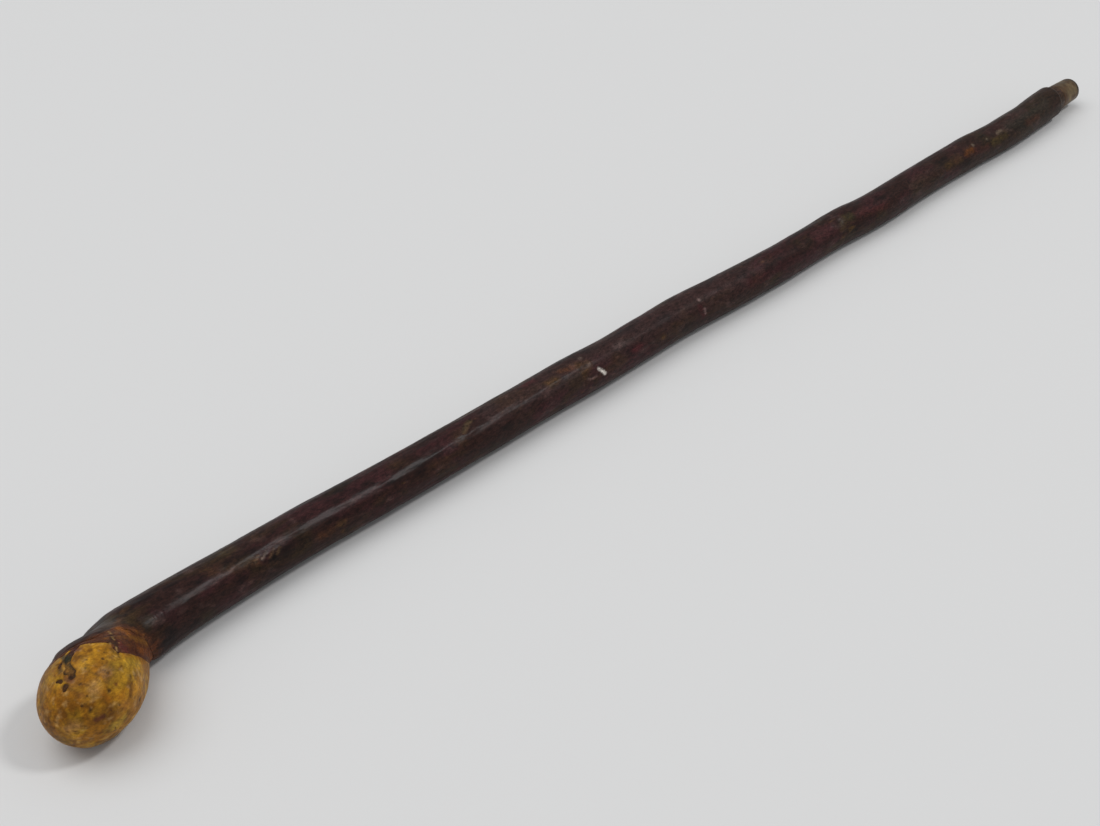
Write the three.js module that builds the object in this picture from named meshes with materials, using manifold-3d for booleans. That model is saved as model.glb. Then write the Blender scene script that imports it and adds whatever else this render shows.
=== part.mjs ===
// Knob handle walking stick: a sapling with its root knob and its bark left on, and a small metal ferrule.
// Millimetres, +Z up. The stick lies on its side, with its knob at the -X end and its ferrule at the +X end.
// Places along the stick are counted from the knob's far end. Angles and turns run from +Y towards +Z.

import * as THREE from "three";
import { mergeVertices } from "three/addons/utils/BufferGeometryUtils.js";
import Module from "manifold-3d";

const wasm = await Module();
wasm.setup();

// Overall sizes
const overallLength = 900;
const seatGap = 0.3;
const cutOverrun = 1;

// Root knob: an egg beside the stem's axis and above it, with a flat that it lies on
const knobLength = 64;
const knobWidth = 47;
const knobHeight = 47;
const knobSideways = 13.1;
const knobFlat = 1;
const knobBlend = 8;
const knobWidestShare = 0.42;
const knobTiltShare = 0.14;
const knobTaperPower = 0.6;
const knobMergeStartShare = 0.55;
const knobMergeShare = 0.5;

// The stem's round end inside the knob
const rootReach = 38;
const rootTaperPower = 0.8;

// Stem, measured over its bark. It lies on the table all along
const neckRadius = 15.5;
const lowerRadius = 11.1;
const stemWander = 12;
const stemOvalShare = 0.02;
const swellingRise = 1.2;

// Bark, and the inner bark between its cut edge and the bare knob
const barkThickness = 1.4;
const barkBevel = 1.2;
const barkEdgeFade = 90;
const paredLength = 6;
const paredSlantShare = 0.3;
const innerBarkThickness = 0.8;
const innerBarkWidth = 17;

// Ferrule, its sole and its brad
const ferruleLength = 23;
const ferruleRadius = 8.6;
const ferruleFlare = 0.9;
const ferruleWall = 0.8;
const ferruleEdge = 0.4;
const soleThickness = 4;
const soleStand = 0.8;
const soleEdge = 1.2;
const bradRadius = 0.8;
const bradLength = 5;
const bradHeadRadius = 1.6;
const bradHeadHeight = 0.7;
const bradCrownShare = 0.7;
const bradRimShare = 0.8;
const bradPlaceShare = 0.35;
const bradTurn = 300;

// Fineness of the mesh
const sides = 26;
const knobRings = 16;
const knobTurnShare = 0.3;
const innerBarkRings = 3;
const fineStep = 4;
const wideStep = 40;
const stepGrowthShare = 0.2;
const swellingStepShare = 0.7;
const runSides = 8;
const runStepsPerPoint = 2;
const ballDetail = 1;
const bradSides = 12;

// The stem's taper: place along it, and how much of the neck's extra radius is left there
const taperShares = [
  [0, 1], [0.03, 0.8], [0.06, 0.66], [0.1, 0.53], [0.145, 0.47], [0.19, 0.48], [0.26, 0.42], [0.36, 0.37],
  [0.44, 0.28], [0.52, 0.23], [0.6, 0.12], [0.66, 0.07], [0.76, 0.02], [0.93, 0.01], [1, 0.12],
];

// The stem's wander: place along it, and its way sideways
const sidewaysShares = [
  [0, 0.82], [0.03, 0.99], [0.06, 1.06], [0.13, 1.06], [0.2, 0.86], [0.29, 0.73], [0.36, 0.65],
  [0.4, 0.55], [0.48, 0.54], [0.54, 0.31], [0.61, 0.12], [0.66, 0.15], [0.72, -0.07],
  [0.79, 0.02], [0.86, -0.09], [0.91, -0.23], [0.95, -0.18], [0.985, -0.05], [1, 0],
];

// Swellings at old side shoots: place and reach along the stem, rise, and the turn in degrees that each faces
const swellings = [
  { placeShare: 0.13, reach: 22, riseShare: 0.35, turn: 60 },
  { placeShare: 0.375, reach: 16, riseShare: 0.5, turn: 130 },
  { placeShare: 0.485, reach: 26, riseShare: 0.4, turn: 30 },
  { placeShare: 0.68, reach: 11, riseShare: 0.75, turn: 50 },
  { placeShare: 0.735, reach: 18, riseShare: 0.4, turn: 200 },
  { placeShare: 0.855, reach: 15, riseShare: 0.55, turn: 40 },
  { placeShare: 0.92, reach: 15, riseShare: 0.5, turn: 250 },
  { placeShare: 0.97, reach: 12, riseShare: 0.4, turn: 50 },
];

// Bumps and hollows of the knob: place along it, turn in degrees, reach over its surface, and rise
const knobBumps = [
  { placeShare: 0.58, turn: 155, reach: 12, rise: 1.2 },
  { placeShare: 0.86, turn: 206, reach: 8, rise: 4.2 },
  { placeShare: 0.25, turn: 235, reach: 14, rise: 0.9 },
  { placeShare: 0.15, turn: 60, reach: 14, rise: -1.6 },
  { placeShare: 0.6, turn: 50, reach: 14, rise: -0.9 },
];

// The bark's cut edge: share of a full turn, and place along the knob
const barkEdgeShares = [
  [0, 0.5], [0.08, 0.32], [0.14, 0.3], [0.2, 0.5], [0.26, 0.61], [0.3, 0.78], [0.34, 0.88],
  [0.38, 0.93], [0.42, 0.98], [0.5, 1], [0.62, 1.03], [0.75, 0.94], [0.88, 0.74],
];

// The width of the inner bark that shows beside that edge: share of a full turn, and share of its full width
const innerBarkShares = [
  [0, 0.17], [0.2, 0.17], [0.26, 0.25], [0.3, 0.6], [0.34, 1], [0.38, 0.88],
  [0.41, 0.73], [0.45, 0.55], [0.5, 0.32], [0.6, 0.17],
];

// Bark grown into the knob: its width and depth, and its run, each point a place along the knob and a turn
const ingrownBark = [
  { width: 3, depth: 2.4, runShares: [[0.43, 0.196], [0.35, 0.208], [0.285, 0.25], [0.268, 0.287]] },
  { width: 2.6, depth: 2.2, runShares: [[0.2, 0.257], [0.195, 0.294]] },
  { width: 2.2, depth: 2, runShares: [[0.262, 0.19], [0.268, 0.21]] },
];

// Places and radii worked out from the sizes
const fullTurn = 2 * Math.PI;
const degree = Math.PI / 180;
const neckPlace = knobLength;
const shoulderPlace = overallLength - ferruleLength;
const stemLength = shoulderPlace - neckPlace;
const barkEndPlace = shoulderPlace - paredLength;
const knobCentreHeight = knobHeight / 2 - knobFlat;
const coreDepth = barkThickness + seatGap;
const spigotRadius = ferruleRadius - ferruleWall - seatGap;
const spigotEndPlace = overallLength - soleThickness - seatGap;

// A smooth curve through a table's points. One that repeats runs round again after a whole share
function along(table, share, repeats = false) {
  const [first, second] = table;
  const last = table.at(-1);
  const lap = ([place, value], turns) => [place + turns, value];
  const points = repeats ? [lap(last, -1), ...table, lap(first, 1), lap(second, 1)] : table;
  const before = points.findLastIndex(([place]) => place <= share);
  const index = THREE.MathUtils.clamp(before, 0, points.length - 2);
  const slope = (k) => {
    const [previous, following] = [points[k - 1], points[k + 1]];
    return previous && following ? (following[1] - previous[1]) / (following[0] - previous[0]) : 0;
  };
  const [from, low] = points[index];
  const [to, high] = points[index + 1];
  const span = to - from;
  const t = THREE.MathUtils.clamp((share - from) / span, 0, 1);
  const rest = 1 - t;
  const level = low * rest * rest * (1 + 2 * t) + high * t * t * (1 + 2 * rest);
  return level + (slope(index) * rest - slope(index + 1) * t) * span * t * rest;
}

const bell = (distance, reach) => Math.exp(-((distance / reach) ** 2));
const turnShare = (angle) => THREE.MathUtils.euclideanModulo(angle / fullTurn, 1);
const stemShare = (place) => THREE.MathUtils.clamp((place - neckPlace) / stemLength, 0, 1);
const placeOf = (share) => neckPlace + share * stemLength;

// The larger of two radii, with the corner between them filled
function blendedMax(a, b, fill) {
  if (a <= 0 || b <= 0) return Math.max(a, b);
  const near = Math.max(fill - Math.abs(a - b), 0) / fill;
  return Math.max(a, b) + near * near * fill / 4;
}

// Radius of the stem over its bark. Inside the knob it ends round
function stemRadius(place, angle) {
  const share = stemShare(place);
  const round = lowerRadius + (neckRadius - lowerRadius) * along(taperShares, share);
  let radius = round * (1 + stemOvalShare * Math.cos(2 * angle + fullTurn * share));
  for (const swelling of swellings) {
    const facing = (1 + Math.cos(angle - swelling.turn * degree)) / 2;
    const rise = swellingRise * swelling.riseShare * facing;
    radius += rise * bell(place - placeOf(swelling.placeShare), swelling.reach);
  }
  const inside = THREE.MathUtils.clamp((neckPlace - place) / rootReach, 0, 1);
  return radius * (1 - inside * inside) ** rootTaperPower;
}

// The stem's axis, as far above the table as the stem is thick below it
const stemAxis = (place) => ({
  y: stemWander * along(sidewaysShares, stemShare(place)),
  z: stemRadius(Math.max(place, neckPlace), -fullTurn / 4),
});

// The knob's axis leans sideways against the stem's, and its near end bends towards the stem's
function knobAxis(place) {
  const stem = stemAxis(place);
  const lean = knobTiltShare * (knobWidestShare * knobLength - place);
  const mergeStart = knobMergeStartShare * knobLength;
  const merge = knobMergeShare * THREE.MathUtils.smoothstep(place, mergeStart, knobLength);
  return {
    y: THREE.MathUtils.lerp(-knobSideways - lean, stem.y, merge),
    z: THREE.MathUtils.lerp(knobCentreHeight, stem.z, merge),
  };
}

// The point that radii are drawn from: on the knob's axis at the far end, and on the stem's from the neck on
function centreAt(place) {
  const blend = THREE.MathUtils.smoothstep(place, neckPlace - rootReach, neckPlace);
  const [knob, stem] = [knobAxis(place), stemAxis(place)];
  return { y: THREE.MathUtils.lerp(knob.y, stem.y, blend), z: THREE.MathUtils.lerp(knob.z, stem.z, blend) };
}

// How far a ray from a centre runs inside an ellipse, or zero where it misses
function reachInEllipse(centre, angle, { y, z, halfWidth, halfHeight }) {
  if (halfWidth <= 0) return 0;
  const way = new THREE.Vector2(Math.cos(angle) / halfWidth, Math.sin(angle) / halfHeight);
  const from = new THREE.Vector2((centre.y - y) / halfWidth, (centre.z - z) / halfHeight);
  const a = way.dot(way);
  const b = way.dot(from);
  const inside = b * b - a * (from.dot(from) - 1);
  return inside < 0 ? 0 : Math.max(0, (Math.sqrt(inside) - b) / a);
}

// The knob's girth as a share of its widest, at a place along it
function knobShare(place) {
  const widest = knobWidestShare * knobLength;
  if (place < widest) return Math.sqrt(1 - ((widest - place) / widest) ** 2);
  const away = Math.min(1, (place - widest) / (knobLength - widest));
  return (1 - away * away) ** knobTaperPower;
}

function knobRadius(place, angle, centre) {
  const share = knobShare(place);
  const halfWidth = knobWidth / 2 * share;
  const halfHeight = knobHeight / 2 * share;
  const radius = reachInEllipse(centre, angle, { ...knobAxis(place), halfWidth, halfHeight });
  let rise = 0;
  for (const bump of knobBumps) {
    const turned = angle - bump.turn * degree;
    const around = Math.atan2(Math.sin(turned), Math.cos(turned)) * knobWidth / 2;
    rise += bump.rise * bell(Math.hypot(place - bump.placeShare * knobLength, around), bump.reach);
  }
  return radius > 0 ? radius + rise * Math.min(1, 2 * share) : 0;
}

// Radius over knob and bark at any place. Nothing reaches below the table
function surfaceRadius(place, angle, centre) {
  const stemSize = stemRadius(place, angle);
  const stem = { ...stemAxis(place), halfWidth: stemSize, halfHeight: stemSize };
  const stemReach = reachInEllipse(centre, angle, stem);
  const knobReach = knobRadius(place, angle, centre);
  const radius = blendedMax(stemReach, knobReach, knobBlend);
  const down = -Math.sin(angle);
  return down > 0 ? Math.min(radius, centre.z / down) : radius;
}

// The point at a place and an angle, sunk below the surface by a depth
function surfacePoint(place, angle, depth) {
  const centre = centreAt(place);
  const radius = surfaceRadius(place, angle, centre) - depth;
  return new THREE.Vector3(place, centre.y + radius * Math.cos(angle), centre.z + radius * Math.sin(angle));
}

// The slanting edges of bark and inner bark, as places at an angle
const barkStart = (angle) => knobLength * along(barkEdgeShares, turnShare(angle), true);
const innerBarkStart = (angle) => (
  barkStart(angle) - innerBarkWidth * along(innerBarkShares, turnShare(angle), true)
);
const barkEnd = (angle) => barkEndPlace + paredLength * paredSlantShare * Math.cos(angle);
const innerBarkPlaces = Array.from({ length: innerBarkRings + 1 }, (_, k) => (angle) => THREE.MathUtils.lerp(
  innerBarkStart(angle), barkStart(angle) - seatGap, k / innerBarkRings,
));

const angles = Array.from({ length: sides }, (_, k) => fullTurn * k / sides);

// A ring of surface points, at places that may change with the angle
function ring(placeAt, depth) {
  return angles.map((angle) => surfacePoint(placeAt(angle), angle, depth));
}

// Points and round rings on the tip's straight axis
const tipAxis = stemAxis(shoulderPlace);
const tipPoint = (place) => new THREE.Vector3(place, tipAxis.y, tipAxis.z);
const tipRing = (place, radius) => angles.map((angle) => new THREE.Vector3(
  place, tipAxis.y + radius * Math.cos(angle), tipAxis.z + radius * Math.sin(angle),
));

// Stations under the bark, close together at the knob and at each swelling
function findStations() {
  const start = angles.reduce((sum, angle) => sum + barkStart(angle), 0) / sides;
  const stations = [start];
  for (let place = start; place < barkEndPlace;) {
    const distances = swellings.map(({ placeShare, reach }) => (
      Math.max(reach, Math.abs(place - placeOf(placeShare)))
    ));
    const knobStep = fineStep + stepGrowthShare * (place - start);
    place += Math.min(wideStep, knobStep, swellingStepShare * Math.min(...distances));
    stations.push(Math.min(place, barkEndPlace));
  }
  return stations;
}
const stations = findStations();

// A station's places. The first follows the bark's cut edge and the last its pared end, and both fade between
function stationPlace(station, angle) {
  const fromStart = 1 - THREE.MathUtils.smoothstep(station - stations[0], 0, barkEdgeFade);
  const fromEnd = 1 - THREE.MathUtils.smoothstep(barkEndPlace - station, 0, barkEdgeFade);
  return station + fromStart * (barkStart(angle) - stations[0]) + fromEnd * (barkEnd(angle) - barkEndPlace);
}

// A closed skin over a row of rings: a wall that runs round again, or a solid with a point at each end.
// Its quads are split the same way wherever rings share their places, so a seat follows what sits on it
function skin(rings, tips = []) {
  const looped = tips.length === 0;
  const corners = rings.flat();
  const faces = [];
  for (let i = 0; i < rings.length - (looped ? 0 : 1); i++) {
    const near = i * sides;
    const far = (i + 1) % rings.length * sides;
    for (let k = 0; k < sides; k++) {
      const next = (k + 1) % sides;
      if (corners[far + k].x >= corners[near + k].x) {
        faces.push([near + k, near + next, far + next], [near + k, far + next, far + k]);
      } else {
        faces.push([near + k, near + next, far + k], [near + next, far + next, far + k]);
      }
    }
  }
  if (!looped) {
    const lastRing = corners.length - sides;
    const [firstTip, lastTip] = [corners.length, corners.length + 1];
    corners.push(...tips);
    for (let k = 0; k < sides; k++) {
      const next = (k + 1) % sides;
      faces.push([firstTip, next, k], [lastTip, lastRing + k, lastRing + next]);
    }
  }
  const geometry = new THREE.BufferGeometry().setFromPoints(corners);
  geometry.setIndex(faces.flat());
  return geometry;
}

// Cutting and joining
function toSolid(geometry) {
  const bare = geometry.clone();
  bare.deleteAttribute("normal");
  bare.deleteAttribute("uv");
  const merged = mergeVertices(bare);
  const mesh = new wasm.Mesh({
    numProp: 3,
    vertProperties: Float32Array.from(merged.attributes.position.array),
    triVerts: Uint32Array.from(merged.index.array),
  });
  return new wasm.Manifold(mesh);
}

function toGeometry(solid) {
  const { vertProperties, triVerts } = solid.getMesh();
  const geometry = new THREE.BufferGeometry();
  geometry.setAttribute("position", new THREE.Float32BufferAttribute(vertProperties, 3));
  geometry.setIndex(Array.from(triVerts));
  return geometry;
}

// Knob and stem, one piece of wood. The knob stands up to the surface, and the rest is sunk under the bark
function woodBlank() {
  const knobEdge = (angle) => innerBarkStart(angle) - seatGap;
  const sagitta = (share) => 1 - Math.cos(fullTurn * knobTurnShare * share);
  const knob = Array.from({ length: knobRings }, (_, k) => {
    const share = sagitta((k + 1) / knobRings) / sagitta(1);
    return ring((angle) => knobEdge(angle) * share, 0);
  });
  const underInnerBark = [knobEdge, ...innerBarkPlaces].map((placeAt) => ring(placeAt, coreDepth));
  const underBark = stations.map((station) => ring((angle) => stationPlace(station, angle), coreDepth));
  const tip = [
    tipRing(shoulderPlace, ferruleRadius + ferruleFlare),
    tipRing(shoulderPlace, spigotRadius + ferruleFlare),
    tipRing(spigotEndPlace, spigotRadius),
  ];
  const farEnd = new THREE.Vector3(0, centreAt(0).y, centreAt(0).z);
  return skin([...knob, ...underInnerBark, ...underBark, ...tip], [farEnd, tipPoint(spigotEndPlace)]);
}

function barkSleeve() {
  const last = stations.length - 1;
  const bevels = stations.map((_, k) => (k === 0 ? barkBevel : 0) - (k === last ? barkBevel : 0));
  const outside = stations.map((station, k) => ring((angle) => stationPlace(station, angle) + bevels[k], 0));
  const inside = stations.map((station) => ring((angle) => stationPlace(station, angle), barkThickness));
  return skin([...outside, ...inside.reverse()]);
}

function innerBarkCollar() {
  const outside = innerBarkPlaces.map((placeAt) => ring(placeAt, barkThickness - innerBarkThickness));
  const inside = innerBarkPlaces.map((placeAt) => ring(placeAt, barkThickness));
  return skin([...outside, ...inside.reverse()]);
}

// A worm of bark along its run, with round ends, before the knob's surface trims it
function ingrownWorm({ width, depth, runShares }, clearance) {
  const radius = width / 2 + clearance;
  const points = runShares.map(([placeShare, turn]) => surfacePoint(
    placeShare * knobLength, turn * fullTurn, depth - width / 2,
  ));
  const outline = new THREE.Shape().absarc(0, 0, radius, 0, fullTurn);
  const path = new THREE.CatmullRomCurve3(points);
  let worm = toSolid(new THREE.ExtrudeGeometry(outline, {
    extrudePath: path,
    steps: runStepsPerPoint * points.length,
    curveSegments: runSides / 2,
  }));
  for (const end of [points[0], points.at(-1)]) {
    const ball = new THREE.IcosahedronGeometry(radius, ballDetail).translate(end.x, end.y, end.z);
    worm = worm.add(toSolid(ball));
  }
  return worm;
}

// Ferrule
function ferruleTube() {
  const top = shoulderPlace + seatGap;
  const end = overallLength - soleStand;
  const boreRadius = ferruleRadius - ferruleWall;
  return skin([
    tipRing(top, ferruleRadius + ferruleFlare - ferruleEdge / 2),
    tipRing(top + ferruleEdge, ferruleRadius + ferruleFlare),
    tipRing(end - ferruleEdge, ferruleRadius),
    tipRing(end, ferruleRadius - ferruleEdge),
    tipRing(end, boreRadius),
    tipRing(top, boreRadius + ferruleFlare),
  ]);
}

function ferruleSole() {
  const back = overallLength - soleThickness;
  return skin([
    tipRing(back, spigotRadius),
    tipRing(overallLength - soleEdge, spigotRadius),
    tipRing(overallLength, spigotRadius - soleEdge),
  ], [tipPoint(back), tipPoint(overallLength)]);
}

// The brad stands on end at the origin, head up, and is then laid in from the ferrule's side
function bradProfile(clearance) {
  const radius = bradRadius + clearance;
  return [
    new THREE.Vector2(0, -bradLength - clearance),
    new THREE.Vector2(radius, -bradLength + bradRadius - clearance),
    new THREE.Vector2(radius, 0),
    new THREE.Vector2(bradHeadRadius, 0),
    new THREE.Vector2(bradHeadRadius * bradCrownShare, bradHeadHeight * bradRimShare),
    new THREE.Vector2(0, bradHeadHeight),
  ];
}

function layBrad(geometry) {
  const place = shoulderPlace + bradPlaceShare * ferruleLength;
  const angle = bradTurn * degree;
  const headRadius = ferruleRadius + ferruleFlare * (1 - bradPlaceShare) + seatGap;
  const [y, z] = [headRadius * Math.cos(angle), headRadius * Math.sin(angle)];
  return geometry.rotateX(angle).translate(place, tipAxis.y + y, tipAxis.z + z);
}

const ferruleBrad = () => layBrad(new THREE.LatheGeometry(bradProfile(0), bradSides));

// The brad's hole, with no head to it
function bradHole() {
  const [point, neck] = bradProfile(seatGap);
  const mouth = new THREE.Vector2(neck.x, cutOverrun);
  const axis = new THREE.Vector2(0, cutOverrun);
  return toSolid(layBrad(new THREE.LatheGeometry([point, neck, mouth, axis], bradSides)));
}

// Finishes
const finishes = {
  knobWood: { color: 0x9a6e2a, roughness: 0.45, metalness: 0 },
  bark: { color: 0x3a2622, roughness: 0.5, metalness: 0 },
  innerBark: { color: 0x5c2c14, roughness: 0.6, metalness: 0 },
  ingrownBark: { color: 0x2c2018, roughness: 0.85, metalness: 0 },
  brass: { color: 0x6a5f4c, roughness: 0.5, metalness: 0.8 },
  steel: { color: 0x4a443e, roughness: 0.6, metalness: 0.8 },
};

function piece(name, geometry, finish) {
  const mesh = new THREE.Mesh(geometry, new THREE.MeshStandardMaterial(finishes[finish]));
  mesh.name = name;
  return mesh;
}

function assemble() {
  const stick = new THREE.Group();
  const blank = toSolid(woodBlank());
  const hole = bradHole();
  let wood = blank.subtract(hole);
  ingrownBark.forEach((run, k) => {
    wood = wood.subtract(ingrownWorm(run, seatGap));
    const trimmed = ingrownWorm(run, 0).intersect(blank);
    stick.add(piece(`ingrown_bark_${k + 1}`, toGeometry(trimmed), "ingrownBark"));
  });
  stick.add(
    piece("knob_and_stem_wood", toGeometry(wood), "knobWood"),
    piece("bark_sleeve", barkSleeve(), "bark"),
    piece("inner_bark_collar", innerBarkCollar(), "innerBark"),
    piece("ferrule_tube", toGeometry(toSolid(ferruleTube()).subtract(hole)), "brass"),
    piece("ferrule_sole", ferruleSole(), "steel"),
    piece("ferrule_brad", ferruleBrad(), "brass"),
  );
  return stick;
}

// The origin is under the middle of the stick, on the table
const walkingStick = assemble();
const box = new THREE.Box3().setFromObject(walkingStick);
const middle = box.getCenter(new THREE.Vector3());
walkingStick.position.set(-middle.x, -middle.y, -box.min.z);

export default walkingStick;
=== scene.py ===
"""Knob handle walking stick: the looks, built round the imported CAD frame.

One axis runs from the knob's end (low x) to the ferrule (high x). Each piece of wood or bark is a skin of
rings round that axis: rays cast inwards on the frame say how far out each ring lies and which CAD node
shows there, so the knob, the bark's cut edges and the pared shoulder come from the frame.
"""

import math

import bmesh
import bpy
import numpy as np
from mathutils import Euler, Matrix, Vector
from mathutils.bvhtree import BVHTree


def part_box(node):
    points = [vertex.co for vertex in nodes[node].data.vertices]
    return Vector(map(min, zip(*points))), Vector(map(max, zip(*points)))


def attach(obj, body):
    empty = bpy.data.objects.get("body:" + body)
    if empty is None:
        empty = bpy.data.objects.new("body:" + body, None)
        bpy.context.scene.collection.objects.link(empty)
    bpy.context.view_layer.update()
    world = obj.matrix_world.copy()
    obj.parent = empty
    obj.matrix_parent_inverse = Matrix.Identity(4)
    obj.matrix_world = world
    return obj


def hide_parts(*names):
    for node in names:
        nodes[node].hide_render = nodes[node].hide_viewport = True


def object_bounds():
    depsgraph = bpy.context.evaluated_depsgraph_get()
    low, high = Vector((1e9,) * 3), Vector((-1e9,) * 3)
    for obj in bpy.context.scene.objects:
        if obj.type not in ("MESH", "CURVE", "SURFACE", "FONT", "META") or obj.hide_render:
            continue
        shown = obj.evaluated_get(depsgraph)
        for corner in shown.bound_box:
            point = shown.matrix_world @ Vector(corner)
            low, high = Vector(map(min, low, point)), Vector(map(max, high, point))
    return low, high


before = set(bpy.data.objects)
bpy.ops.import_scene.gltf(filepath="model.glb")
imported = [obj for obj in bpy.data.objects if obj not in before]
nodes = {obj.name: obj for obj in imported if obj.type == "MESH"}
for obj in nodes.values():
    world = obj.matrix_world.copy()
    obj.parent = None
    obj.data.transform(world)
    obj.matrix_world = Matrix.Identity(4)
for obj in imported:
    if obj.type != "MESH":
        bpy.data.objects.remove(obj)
cad_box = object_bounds()

MM = 0.001
FULL_TURN = 2 * math.pi

# The camera, as fitted to the photograph.
PHOTO_WIDTH, PHOTO_HEIGHT = 1100, 826
SENSOR, LENS = 36.0, 55.0
CAMERA_PLACE = (-0.65756, -0.53147, 0.58347)
CAMERA_ANGLES = (math.pi / 2 - math.radians(37.06), 0, math.radians(-45.455))

# Light and floor.
WORLD_STRENGTH = 0.47
WORLD_COLOUR = (246, 247, 250)
LAMP_DISTANCE = 6.0
LAMPS = [
    # name, power in watts, size in metres, the direction that it shines from
    ("overhead", 147.0, 6.0, (-0.26, 0.3, 0.92)),
    ("strip", 88.0, 1.05, (0.42, -0.40, 0.82)),
]
FLOOR_COLOUR, FLOOR_SIZE, FLOOR_ROUGHNESS, FLOOR_SPECULAR = (221, 221, 220), 8.0, 0.9, 0.1

# How finely each skin is cut.
KNOB_SIDES, KNOB_STEP, KNOB_END_DEPTH = 320, 0.42 * MM, 6 * MM
STEM_SIDES, STEM_STEP, STEM_FINE_STEP, STEM_CHIP_STEP = 128, 2.0 * MM, 0.8 * MM, 0.4 * MM
HARMONICS = 12

# Thicknesses and clearances, as in the frame.
BARK_THICKNESS, INNER_THICKNESS, CLEARANCE = 1.4 * MM, 0.8 * MM, 0.3 * MM
BARK_PROUD, INNER_PROUD = 0.3 * MM, 0.15 * MM
POCKET_DEPTH, CRUST_SUNK = 1.9 * MM, 0.2 * MM

# Where the knob gives way to the stem, from the knob's end.
KNOB_LENGTH, NECK_END = 64 * MM, 100 * MM


def linear(rgb):
    """A colour written as sRGB 0 to 255, as linear light."""
    share = np.array(rgb, float) / 255
    return np.where(share <= 0.04045, share / 12.92, ((share + 0.055) / 1.055) ** 2.4)


def rgba(rgb):
    return (*linear(rgb), 1.0)


def smoothstep(value, low, high):
    share = np.clip((value - low) / (high - low), 0, 1)
    return share * share * (3 - 2 * share)


# Seeded value noise.
HASH_STEPS = (374761393, 668265263, 1442695041)
HASH_MASK = 0xFFFFFF


def lattice(cell, seed):
    key = sum(cell[..., k].astype(np.int64) * HASH_STEPS[k] for k in range(3)) + seed * 69069
    key = (key ^ (key >> 13)) * 1274126177
    key = key ^ (key >> 16)
    return (key & HASH_MASK) / HASH_MASK * 2 - 1


def noise(points, size, seed):
    """Smooth noise from -1 to 1 at points; size is one length, or one for each axis."""
    scaled = np.asarray(points) / size
    cell = np.floor(scaled)
    part = scaled - cell
    ease = part * part * (3 - 2 * part)
    total = 0
    for corner in np.ndindex(2, 2, 2):
        weight = np.prod(np.where(corner, ease, 1 - ease), axis=-1)
        total = total + weight * lattice(cell + np.array(corner), seed)
    return total


LAYER_TOTAL, NOISE_PEAK = 1.6, 1.1


def layered(points, size, seed, layers=3):
    total = sum(noise(points, np.asarray(size) / 2 ** k, seed + 17 * k) / 2 ** k for k in range(layers))
    return total / LAYER_TOTAL


# Reading the frame.
def frame_tree():
    """The frame's corners and faces, and which node each face belongs to."""
    corners, faces, owners = [], [], []
    for name, node in nodes.items():
        base = len(corners)
        corners += [v.co.copy() for v in node.data.vertices]
        for face in node.data.polygons:
            faces.append([base + i for i in face.vertices])
            owners.append(name)
    return corners, faces, np.array(owners)


frame_corners, frame_faces, face_owner = frame_tree()
tree = BVHTree.FromPolygons(frame_corners, frame_faces)
frame_edges = np.array([(frame_corners[a], frame_corners[b])
                        for f in frame_faces for a, b in zip(f, f[1:] + f[:1])])
KNOB_TIP, SOLE_END = cad_box[0].x, cad_box[1].x
FERRULE_BOX, SOLE_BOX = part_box("ferrule_tube"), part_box("ferrule_sole")


def section_box(x):
    """Lowest and highest (y, z) of the frame's cross-section at x."""
    start, end = frame_edges[:, 0], frame_edges[:, 1]
    crosses = (start[:, 0] - x) * (end[:, 0] - x) < 0
    start, end = start[crosses], end[crosses]
    share = ((x - start[:, 0]) / (end[:, 0] - start[:, 0]))[:, None]
    cut = (start + (end - start) * share)[:, 1:]
    return cut.min(0), cut.max(0)


def section_radius(x):
    low, high = section_box(x)
    return (high - low).max() / 2


def blur(values, stations, widths):
    """Values along the stations, each averaged with its neighbours over one width or its own."""
    apart = (stations[:, None] - stations[None, :]) / np.reshape(widths, (-1, 1))
    weight = np.exp(-apart ** 2 / 2) * np.gradient(stations)[None, :]
    weight /= weight.sum(1, keepdims=True)
    return np.tensordot(weight, values, 1)


PATH_STEP, PATH_MARGIN = 2 * MM, 0.3 * MM
path_x = np.arange(KNOB_TIP + PATH_MARGIN, SOLE_END - PATH_MARGIN, PATH_STEP)
path_blur = 2 * MM + 6 * MM * smoothstep(path_x - KNOB_TIP, KNOB_LENGTH, NECK_END)
path_yz = blur(np.array([sum(section_box(x)) / 2 for x in path_x]), path_x, path_blur)


def axis_at(x):
    return np.stack([np.interp(x, path_x, path_yz[:, k]) for k in range(2)], -1)


def side_angles(sides):
    return np.arange(sides) / sides * FULL_TURN


RAY_START = 60 * MM


def read_skin(stations, sides):
    """How far the frame's surface lies from the axis, and which node shows, for each station and side."""
    radius = np.zeros((len(stations), sides))
    owner = np.empty((len(stations), sides), dtype=object)
    for i, x in enumerate(stations):
        y, z = axis_at(x)
        for j, angle in enumerate(side_angles(sides)):
            out = Vector((0, math.cos(angle), math.sin(angle)))
            hit = tree.ray_cast(Vector((x, y, z)) + out * RAY_START, -out)
            if hit[0] is not None:
                radius[i, j] = RAY_START - hit[3]
                owner[i, j] = face_owner[hit[2]]
    return radius, owner


def round_off(radius, harmonics=HARMONICS):
    """The same rings without the frame's corners."""
    spectrum = np.fft.rfft(radius)
    order = np.arange(spectrum.shape[-1])
    spectrum *= 1 - smoothstep(order, harmonics - 2, harmonics + 3)
    return np.fft.irfft(spectrum, radius.shape[-1])


def ring_points(stations, radius):
    """Points of rings round the axis; stations are one x for each ring, or one for each point."""
    angles = side_angles(radius.shape[1])
    x = np.broadcast_to(stations[:, None] if stations.ndim == 1 else stations, radius.shape)
    centre = axis_at(x)
    y = centre[..., 0] + radius * np.cos(angles)
    z = centre[..., 1] + radius * np.sin(angles)
    return np.stack([x, y, z], -1)


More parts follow.
